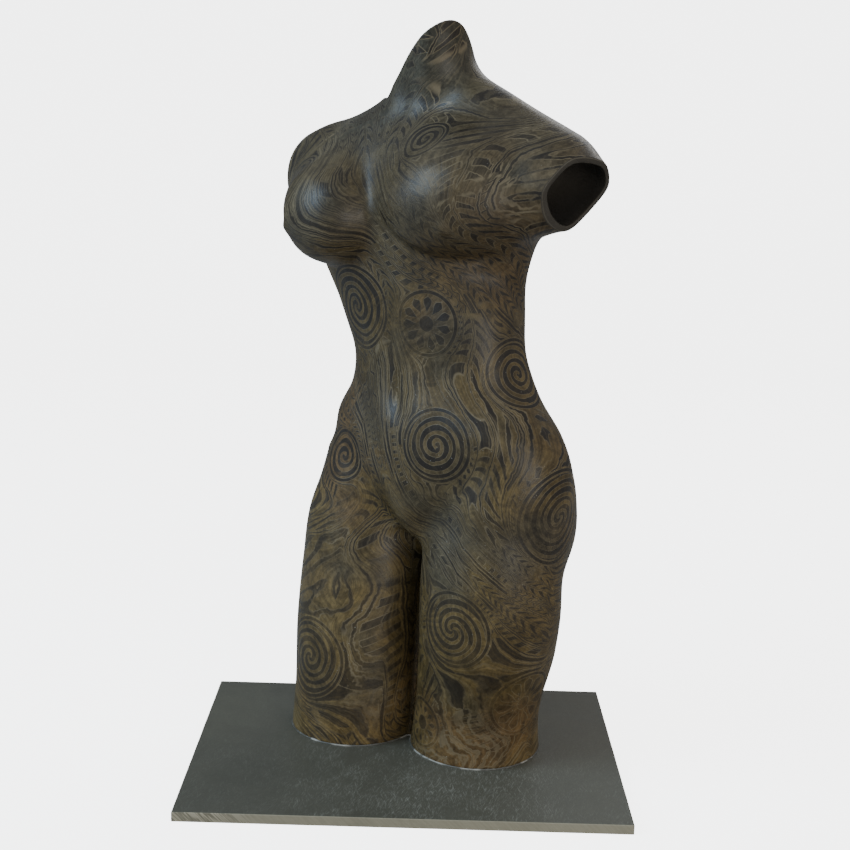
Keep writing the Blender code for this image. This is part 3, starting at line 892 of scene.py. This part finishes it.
def motif_bands(net, s, t):
    """Bands two rows wide, with a motif between two borders, and where there is one."""
    s = s * 0.5
    row = net.floor(s)
    f = net.off_middle(s)
    run = t * 0.55 + net.chance(row, 11.0) * 9.0
    g = net.fract(run)
    inside = net.ease(net.least(g, 1.0 - g), 0.02, 0.06)
    kind = net.chance(row, net.floor(run), 7.0)
    border = net.ease(0.055 - net.size(f - 0.41), -0.015, 0.03)
    beat = t * 6.0
    leaf = net.ease(0.30 - f * 0.55 - net.off_middle(beat - f * 1.6), -0.05, 0.06)
    leaf = net.most(leaf * net.ease(f, 0.03, 0.06), net.ease(0.022 - f, -0.01, 0.015))
    wave = net.size((net.fract(s) - 0.5) - net.sine(beat * 0.5) * 0.17)
    wave = net.ease(0.075 - wave, -0.02, 0.03)
    bead = net.off_middle(beat)
    lozenge = net.ease(0.34 - bead - f * 1.5, -0.05, 0.06)
    bars = net.ease(0.24 - bead, -0.05, 0.05) * net.ease(0.30 - f, 0.0, 0.04)
    motif = leaf
    for share, other in ((0.60, wave), (0.74, lozenge), (0.88, bars)):
        motif = net.pick(net.above(kind, share), motif, other)
    return net.most(border, motif) * inside, net.above(kind, 0.30)


def feather_bands(net, s, t, wobble):
    """Bands four rows wide, hatched either side of a rib, and where there is one."""
    s = s * 0.25 + 0.12
    row = net.floor(s)
    f = net.off_middle(s)
    run = t * 0.30 + net.chance(row, 23.0) * 9.0
    g = net.fract(run)
    ends = net.ease(net.least(g, 1.0 - g), 0.01, 0.05)
    hatch = net.off_middle(t * 4.6 + f * f * 5.0 + wobble * 0.3)
    hatch = net.ease(0.33 - f * 0.35 - hatch, -0.05, 0.08) * net.ease(f, 0.05, 0.09)
    hatch = hatch * net.ease(0.43 - f, 0.0, 0.03)
    rib = net.ease(0.020 - f, -0.01, 0.015)
    edge = net.ease(0.022 - net.size(f - 0.465), -0.008, 0.012)
    feather = net.most(net.most(hatch, rib), edge) * ends
    return feather, net.above(net.chance(row, net.floor(run), 17.0), 0.48)


def brush_group():
    """The flowing brush work: how dark each point is painted, and the pale lines in it."""
    net, g = node_group("brush_flow", {"Across": 0.0, "Along": 0.0, "Wobble": 0.5}, ["Stroke", "Combed"])
    s = g["Across"] + (g["Wobble"] - 0.5) * 0.7
    t = g["Along"]
    single, row, number = single_strokes(net, s, t)
    band, wide = motif_bands(net, s, t)
    feather, broad = feather_bands(net, s, t, g["Wobble"])
    # fine pale lines left by the brush between the strokes, and combed through some of them
    gap = net.ease(0.05 - net.off_middle(s + 0.5), -0.03, 0.03) * (1.0 - wide * 0.7)
    comb = net.ease(0.16 - net.off_middle(s * 3.0 + g["Wobble"]), -0.10, 0.08)
    comb = comb * net.ease(net.chance(row, number, 9.0), 0.55, 0.75)
    return give(net, Stroke=net.pick(broad, net.pick(wide, single, band), feather),
                Combed=net.most(gap, comb * 0.7) * (1.0 - broad * 0.6))


def scroll_group():
    """Scrolls and rosettes: paint inside each round field, and how far inside a point is."""
    net, g = node_group("scrolls", {"Place": "Vector", "Form": "Vector", "Wobble": 0.5},
                        ["Stroke", "Inside"])
    u, v, rel = net.split(g["Place"])
    radius, arms, phase = net.split(g["Form"])
    wobble = g["Wobble"] - 0.5
    angle = net.math("ARCTAN2", v, u) * (0.5 / math.pi)
    q = (rel + radius) * 0.86 + wobble * 0.35
    curl = q - angle * arms + phase
    swell = net.sine(angle * 2.0 + phase + net.floor(curl) * 0.37) * 0.07 + 0.30
    spiral = net.ease(swell - net.off_middle(curl), -0.03, 0.06)
    reach = net.ease(q, 1.0, 2.4) * net.ease(radius * 0.86 - q, 0.7, 1.3)
    petal = net.ease(reach * 0.36 - net.off_middle(angle * 11.0 + phase), -0.05, 0.06)
    rosette = net.most(petal, net.ease(0.75 - net.size(q - 0.2), -0.05, 0.1))
    is_rosette = net.math("LESS_THAN", net.size(arms), 0.5)
    stroke = net.pick(is_rosette, spiral, rosette) * net.ease(-0.75 - rel, -0.05, 0.05)
    rim = net.ease(0.26 - net.size(rel + 0.35), -0.05, 0.08)
    inside = net.ease(rel + wobble * 0.2, 0.12, 0.0)
    return give(net, Stroke=net.most(stroke, rim), Inside=inside)


BRUSH, SCROLL = brush_group(), scroll_group()

# ---- colours; where there are two, the darkest and the palest ----
GROUND = (0.050, 0.036, 0.014), (0.146, 0.105, 0.041)
RUSSET, OCHRE, POOLED = (0.118, 0.066, 0.030), (0.158, 0.114, 0.040), (0.042, 0.044, 0.036)
# painted shade darkens the belly and ribs; the grey high up is partly the glaze's tone, partly painted
# cool reflection
BELLY_PAINTED_SHADE, HIGH_GREY_AND_PAINTED_REFLECTION = (0.040, 0.030, 0.016), (0.031, 0.033, 0.028)
DARK_PAINT = (0.0075, 0.0068, 0.006), (0.022, 0.017, 0.012)
# the glint colour is a painted highlight: tiny glints put into the glaze's colour
PALE_LINE, PAINTED_GLINT = (0.178, 0.144, 0.086), (0.36, 0.36, 0.33)
RIM_CLAY, WORN_RIM = ((0.022, 0.019, 0.015), (0.058, 0.050, 0.038)), (0.135, 0.120, 0.086)
INNER_WALL = (0.015, 0.025, 0.031), (0.036, 0.056, 0.066)
SLATE, SCUFFED = ((0.052, 0.052, 0.040), (0.104, 0.101, 0.076)), (0.27, 0.27, 0.23)
SAWN_SLATE = (0.150, 0.138, 0.098), (0.36, 0.33, 0.24)
GLUE_SMEAR = (0.035, 0.035, 0.030), (0.110, 0.108, 0.094)
GLUE_CRUST = (0.15, 0.147, 0.13), (0.42, 0.41, 0.37)
PAPER, PAPER_BOUNCE = ((0.82, 0.82, 0.815), (0.87, 0.87, 0.865)), (0.36, 0.36, 0.36)

# patches of the glaze: colour, shift and scale of its clouds, where they start and are full,
# their strength, and how much of it is lost high on the figure
PATCHES = (
    (RUSSET, (0.31, 0.12, 0.77), 6.5, 0.48, 0.68, 0.5, 0.6),
    (OCHRE, (0.93, 0.55, 0.20), 8.0, 0.52, 0.70, 0.5, 0.5),
    (POOLED, (0.45, 0.81, 0.36), 10.0, 0.50, 0.68, 0.6, 0.0),
)


# ---- finishes ----
def paint_marks(net, place, z, across, along, wobble):
    """How dark each point is painted, and how strongly a pale line shows there."""
    strokes, combed = net.group(BRUSH, across, along, wobble)
    discs, inside = net.group(SCROLL, net.attribute("scroll"), net.attribute("scroll_form"), wobble)
    paint = net.pick(inside, strokes, discs)
    outline = paint * (1.0 - paint) * 4.0
    lines = net.most(combed * (1.0 - inside), outline * 0.9)
    # rubbed thin in places, more so on the thighs, and streaked by the bristles
    rubbed = net.noise(place, 9.0, 3.0, 0.55)
    legs = net.ease(z, 0.30, 0.14)
    paint = paint * net.ease(rubbed + legs * 0.05, 0.66, 0.50, 0.25, 1.0)
    streak = net.noise(net.join(across * 5.0, along * 3.0, wobble * 0.5), 1.0, 4.0, 0.65)
    return paint * net.ease(streak, 0.25, 0.55, 0.58, 1.0) * (1.0 - legs * 0.22), lines


def glaze_ground(net, place, z, high, tone, brushed, hairs):
    """The glaze under the painting: clouded, patchy, with painted shade over the belly and ribs, and
    greyer high up, partly as painted cool reflection.
    """
    ground = net.tint(tone, *GROUND)
    for colour, shift, scale, start, full, strength, lost in PATCHES:
        cloud = net.noise(net.node("Mapping", {"Vector": place, "Location": shift}), scale, 2.0)
        mask = net.ease(cloud, start, full, 0.0, strength)
        # warm patches fade high up, partly the glaze's own tone, partly painted cool reflection
        ground = net.tint(mask * (1.0 - high * lost) if lost else mask, ground, colour)
    # painted shade: the glaze colour is darkened in a band over the belly and ribs
    painted_shade_belt = net.ease(z, 0.24, 0.38) * net.ease(z, 0.56, 0.50)
    ground = net.tint(painted_shade_belt * 0.40, ground, BELLY_PAINTED_SHADE)
    # greyer high on the figure: partly the glaze's own tone, partly painted cool reflection of the light
    ground = net.tint(high * 0.60, ground, HIGH_GREY_AND_PAINTED_REFLECTION)
    grime = net.ease(net.noise(place, 62.0, 5.0, 0.78, 0.6), 0.36, 0.60)
    for amount, pattern, low, top in (
        (0.70, brushed, (0.2, 0.2, 0.2), (1.8, 1.8, 1.8)),
        (0.75, grime, (0.48, 0.46, 0.44), (1.22, 1.20, 1.16)),
        (0.60, net.ease(hairs, 0.30, 0.70), (0.45, 0.45, 0.45), (1.45, 1.42, 1.36)),
    ):
        ground = net.tint(amount, ground, net.tint(pattern, low, top), "MULTIPLY")
    return ground


def glaze():
    """Olive-brown glaze with dark brush strokes; the cut rims show bare clay."""
    mat, net, shader, place = new_material("painted_glaze")
    z = net.split(place)[2]
    across, along, bare = net.split(net.attribute("flow"))
    wobble = net.noise(place, 55.0, 3.0, 0.6)
    hairs = net.noise(net.join(across * 9.0, along * 1.6, wobble * 0.6), 1.0, 3.0, 0.7)
    brushed = net.noise(place, 260.0, 3.0, 0.7)
    tone = net.group(MOTTLE, place, 13.0, 1.5)
    high = net.ease(z, 0.42, 0.60)
    paint, lines = paint_marks(net, place, z, across, along, wobble)
    ground = glaze_ground(net, place, z, high, tone, brushed, hairs)
    patchy = net.ease(net.noise(place, 16.0, 2.0), 0.42, 0.60)
    pale = net.math("MULTIPLY", lines, patchy * 0.55 + high * 0.12 + 0.15, clamp=True)
    # painted highlights: tiny pale glints painted into the glaze's colour
    painted_glints = net.ease(net.noise(place, 640.0, 1.0), 0.76, 0.80) * patchy * 0.6
    worn = net.ease(bare, 1.25, 1.80, 0.0, 0.35) + net.ease(bare, 1.25, 1.80, 0.0, 0.3) * patchy
    colour = ground
    for mask, over in (
        (net.math("MULTIPLY", paint, 0.97, clamp=True), net.tint(tone, *DARK_PAINT)),
        (pale, PALE_LINE), (painted_glints, PAINTED_GLINT), (bare, net.tint(tone, *RIM_CLAY)), (worn, WORN_RIM),
    ):
        colour = net.tint(mask, colour, over)
    gloss = 0.44 + (tone - 0.5) * 0.16 + (brushed - 0.5) * 0.25 + (hairs - 0.5) * 0.40
    height = net.group(GRIT, place, 620.0, 0.9) + paint * 0.12 + hairs * 0.34
    finish(net, shader, colour, net.pick(bare, gloss, 0.7), height, 0.0013, 0.45)
    net.set(shader, "Specular IOR Level", 0.28)
    net.set(shader, "Coat Weight", 0.06)
    net.set(shader, "Coat Roughness", 0.26)
    return mat


def inner_clay():
    """Dark blue-grey wall of the hollow, turning to the rims' clay at its lip."""
    mat, net, shader, place = new_material("inner_clay")
    bare = net.split(net.attribute("flow"))[2]
    tone = net.group(MOTTLE, place, 18.0, 1.2)
    lip = net.ease(net.noise(place, 120.0, 2.0) * 0.3 + bare, 0.75, 1.15)
    colour = net.tint(lip, net.tint(tone, *INNER_WALL), net.tint(tone, *RIM_CLAY))
    height = net.group(GRIT, place, 480.0, 1.2)
    finish(net, shader, colour, 0.68 + (tone - 0.5) * 0.2, height, 0.0015, 0.5)
    return mat


def slate():
    """Honed dark slate: cloudy, scuffed, with a paler sawn edge."""
    mat, net, shader, place = new_material("honed_slate")
    x, y, _ = net.split(place)
    tone = net.group(MOTTLE, place, 9.0, 1.1)
    scratches = net.group(SCUFFS, place, 84.0, 0.5) * 0.5
    finer = net.group(SCUFFS, place, 150.0, 0.65) * 0.45
    worn = net.ease(y, 0.06, -0.06, 0.3, 1.0) * net.ease(net.size(x - 0.02), 0.16, 0.05, 0.3, 1.0)
    marks = net.math("ADD", scratches, finer, clamp=True) * worn
    grain = net.tint(net.noise(place, 480.0, 4.0, 0.75), (0.35, 0.35, 0.35), (1.65, 1.65, 1.65))
    colour = net.tint(0.4, net.tint(tone, *SLATE), grain, "MULTIPLY")
    colour = net.tint(marks, colour, SCUFFED)
    half_w = (PLATE_HIGH.x - PLATE_LOW.x) / 2
    half_d = (PLATE_HIGH.y - PLATE_LOW.y) / 2
    edge = net.ease(net.most(net.size(x) - half_w, net.size(y) - half_d), -0.0012, -0.0004)
    # saw marks show at the left end of the edge; the rest is plainer
    saw = net.noise(net.slanted(place, (0.0, 0.8, 0.0), (1.0, 1.0, 0.06)), 700.0, 2.0)
    saw = net.ease(saw, 0.42, 0.58)
    saw = net.pick(net.ease(x, -0.12, -0.17, 0.10, 0.9), 0.5 + (tone - 0.5) * 0.6, saw)
    colour = net.tint(edge, colour, net.tint(saw, *SAWN_SLATE))
    gloss = net.math("ADD", 0.50 + (tone - 0.5) * 0.25, marks * 0.2, clamp=True)
    finish(net, shader, colour, gloss, net.group(GRIT, place, 900.0, 0.5) - marks * 0.4, 0.0006, 0.45)
    net.set(shader, "Specular IOR Level", 0.35)
    return mat


def glue():
    """Dried whitish glue, in a patchy crust over a grey smear."""
    mat, net, shader, place = new_material("dried_glue")
    tone = net.group(MOTTLE, place, 60.0, 1.5)
    crust = net.ease(net.noise(place, 42.0, 3.0, 0.65), 0.50, 0.62)
    colour = net.tint(crust, net.tint(tone, *GLUE_SMEAR), net.tint(tone, *GLUE_CRUST))
    finish(net, shader, colour, 0.35 + tone * 0.3, net.group(GRIT, place, 900.0, 1.0), 0.0008, 0.5)
    return mat


def pale_floor():
    """Pale seamless paper: bright where it is looked at straight, dimmer in the light it returns."""
    mat, net, shader, place = new_material("pale_floor")
    colour = net.tint(net.group(MOTTLE, place, 3.0, 0.4), *PAPER)
    seen = net.node("LightPath", out="Is Camera Ray")
    net.set(shader, "Base Color", net.tint(seen, PAPER_BOUNCE, colour))
    net.set(shader, "Roughness", 0.9)
    net.set(shader, "Emission Color", colour)
    net.set(shader, "Emission Strength", seen * 5.0)
    return mat


# ---- pieces ----
def dress_torso(torso):
    lay_out_the_design(torso)
    mesh = torso.data
    mesh.materials.clear()
    mesh.materials.append(glaze())
    mesh.materials.append(inner_clay())
    inner = figure(from_row(read(mesh.polygons, "center"))) < -INNER_FROM
    mesh.polygons.foreach_set("material_index", inner.astype(np.int32))
    mesh.update()


# the slate: width of the eased arrises, and how far its sawn edges waver
ARRIS, WAVER = 0.0007, 0.00025


def make_plate():
    """The slate with sawn, slightly uneven edges and eased arrises."""
    bm = bmesh.new()
    size = PLATE_HIGH - PLATE_LOW
    shape = Matrix.Translation((PLATE_LOW + PLATE_HIGH) / 2) @ Matrix.Diagonal((*size, 1.0))
    bmesh.ops.create_cube(bm, size=1.0, matrix=shape)
    for axis, cuts in ((0, 64), (1, 48)):
        way = Vector([1.0 if k == axis else 0.0 for k in range(3)])
        for k in range(1, cuts):
            at = way * (PLATE_LOW[axis] + size[axis] * k / cuts)
            bmesh.ops.bisect_plane(bm, geom=bm.verts[:] + bm.edges[:] + bm.faces[:],
                                   plane_co=at, plane_no=way)
    bm.normal_update()
    arris = [e for e in bm.edges if len(e.link_faces) == 2 and e.calc_face_angle() > 1.0]
    bmesh.ops.bevel(bm, geom=arris, offset=ARRIS, segments=3, affect="EDGES", profile=0.5)
    rng = np.random.default_rng(5)
    waves = [(rng.uniform(20, 160), rng.uniform(0, 6.3), rng.uniform(0.3, 1.0)) for _ in range(10)]
    for v in bm.verts:
        for axis in (0, 1):
            if abs(abs(v.co[axis]) - size[axis] / 2) < ARRIS + 0.0005:
                run = v.co[1 - axis] + 0.7 * math.copysign(axis + 1, v.co[axis])
                dent = sum(h * math.sin(k * run + ph) for k, ph, h in waves) / 10
                v.co[axis] -= math.copysign(WAVER * (1 + dent), v.co[axis])
    plate = piece("slate_plate", [], [])
    bm.to_mesh(plate.data)
    bm.free()
    for poly in plate.data.polygons:
        poly.use_smooth = poly.area < 2e-5
    plate.data.materials.append(slate())
    return plate


# the bead of glue: how high its middle lies over the plate, and its radius
GLUE_RISE, GLUE_RADIUS = 0.0004, 0.0009


def foot_ring(torso):
    """Points of the torso's outer edge where it meets the plate, in order."""
    bm = bmesh.new()
    bm.from_mesh(torso.data)
    low = PLATE_TOP + GLUE_GAP + 0.0002
    links = {}
    for e in bm.edges:
        if (all(v.co.z < low for v in e.verts) and e.calc_face_angle(0.0) > 0.8
                and figure(from_row([e.verts[0].co]))[0] > -0.3):
            for v in e.verts:
                links.setdefault(v.index, []).append(e.other_vert(v).index)
    spots = {v.index: v.co.copy() for v in bm.verts if v.index in links}
    bm.free()
    rings = []
    while links:
        ring, last = [min(links)], None
        while True:
            onward = [k for k in links.get(ring[-1], []) if k != last and k not in ring[1:]]
            if not onward or (len(ring) > 2 and onward[0] == ring[0]):
                break
            last = ring[-1]
            ring.append(onward[0])
        for k in ring:
            links.pop(k, None)
        rings.append([spots[k] for k in ring])
    return max(rings, key=len)


def bead_tree():
    """Geometry nodes: a bead of glue laid along a path, uneven in thickness."""
    inputs = {"Geometry": "Geometry", "Radius": 0.001, "Unevenness": 0.4, "Seed": 3,
              "Finish": "Material"}
    net, g = node_group("glue_bead_along_path", inputs, ["Geometry"], "Geometry", "Geometry")

    def step(kind, inputs, out="Geometry", **settings):
        return net.node(kind, inputs, out, "GeometryNode", **settings)

    path = step("ResampleCurve", {"Curve": g["Geometry"], "Length": 0.0016}, "Curve", mode="LENGTH")
    noise = net.node("TexNoise", {"W": g["Seed"], "Scale": 95.0, "Detail": 2.0}, noise_dimensions="4D")
    thick = net.math("MULTIPLY_ADD", noise - 0.5, g["Unevenness"], 1.0) * g["Radius"]
    section = step("CurvePrimitiveCircle", {"Resolution": 10, "Radius": 1.0}, "Curve")
    bead = step("CurveToMesh", {"Curve": path, "Scale": thick, "Profile Curve": section}, "Mesh")
    bead = step("SetShadeSmooth", {"Geometry": bead})
    bead = step("RealizeInstances", {"Geometry": bead})
    return give(net, Geometry=step("SetMaterial", {"Geometry": bead, "Material": g["Finish"]}))


def make_bead(torso):
    """The bead of glue round the torso's foot, as a plain mesh."""
    ring = foot_ring(torso)
    curve = bpy.data.curves.new("glue_path", "CURVE")
    curve.dimensions = "3D"
    spline = curve.splines.new("POLY")
    spline.points.add(len(ring) - 1)
    for point, co in zip(spline.points, ring):
        point.co = (co.x, co.y, PLATE_TOP + GLUE_RISE, 1.0)
    spline.use_cyclic_u = True
    path = show("glue_path", curve)
    laid = path.modifiers.new("bead", "NODES")
    laid.node_group = bead_tree()
    values = {"Radius": GLUE_RADIUS, "Unevenness": 1.8, "Seed": 3, "Finish": glue()}
    for item in laid.node_group.interface.items_tree:
        if item.in_out == "INPUT" and item.name in values:
            laid[item.identifier] = values[item.name]
    graph = bpy.context.evaluated_depsgraph_get()
    mesh = bpy.data.meshes.new_from_object(path.evaluated_get(graph))
    bpy.data.objects.remove(path)
    return show("glue_bead", mesh)


def soft_box(name, place, size, power, colour, aim=Vector((0.0, 0.0, 0.4))):
    """A broad soft light aimed at the middle of the figure."""
    data = bpy.data.lights.new(name, "AREA")
    data.shape = "RECTANGLE"
    data.size, data.size_y = size
    data.energy = power
    data.color = colour
    lamp = show(name, data)
    lamp.location = place
    lamp.rotation_euler = (aim - Vector(place)).to_track_quat("-Z", "Y").to_euler()


# the view: where it is taken from over the plate, and how far it looks down and leans
VIEW_FROM, LENS = Vector((0.0093, -1.29, 0.5824)), 60.8
LOOKS_DOWN, LEANS = math.radians(11.7), math.radians(1.65)


def set_camera():
    data = bpy.data.cameras.new("camera")
    data.sensor_width = 36.0
    data.lens = LENS
    cam = show("camera", data)
    turn = Matrix.Rotation(math.pi / 2 - LOOKS_DOWN, 4, "X") @ Matrix.Rotation(LEANS, 4, "Z")
    cam.matrix_world = Matrix.Translation(VIEW_FROM + Vector((0.0, 0.0, PLATE_TOP))) @ turn
    bpy.context.scene.camera = cam


def seamless_paper():
    """Pale paper: flat under the piece, curving up well behind it."""
    front, start, bend, top, half = -6.0, 2.2, 1.2, 4.2, 6.0
    side_view = [(front, 0.0), (start, 0.0)]
    for k in range(1, 25):
        a = math.radians(90.0 * k / 24)
        side_view.append((start + bend * math.sin(a), bend * (1.0 - math.cos(a))))
    side_view.append((start + bend, top))
    ground = PLATE_LOW.z - 0.0002
    points = [(x, y, ground + z) for y, z in side_view for x in (-half, half)]
    faces = [(2 * k, 2 * k + 1, 2 * k + 3, 2 * k + 2) for k in range(len(side_view) - 1)]
    paper = piece("floor", points, faces)
    paper.data.shade_smooth()
    paper.data.materials.append(pale_floor())


def set_studio():
    seamless_paper()
    soft_box("key", (-1.9, -0.7, 1.55), (1.2, 1.3), 49.0, (0.60, 0.80, 1.0))
    soft_box("fill", (1.1, -2.1, 0.55), (1.2, 1.0), 22.0, (1.0, 0.96, 0.90))
    soft_box("back", (0.9, 1.6, 1.6), (1.2, 0.9), 9.0, (1.0, 1.0, 1.0))
    world = bpy.data.worlds.new("studio")
    world.use_nodes = True
    sky = world.node_tree.nodes["Background"]
    sky.inputs["Color"].default_value = (0.95, 0.97, 1.0, 1.0)
    sky.inputs["Strength"].default_value = 0.55
    bpy.context.scene.world = world


def main():
    set_camera()
    torso = make_torso()
    bead = make_bead(torso)
    dress_torso(torso)
    plate = make_plate()
    for obj, slot, nodes in (
        (torso, "glazed_clay", ("torso",)), (plate, "slate", ("plate",)), (bead, None, ()),
    ):
        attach(obj, "root")
        if nodes:
            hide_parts(*nodes)
    set_studio()


main()
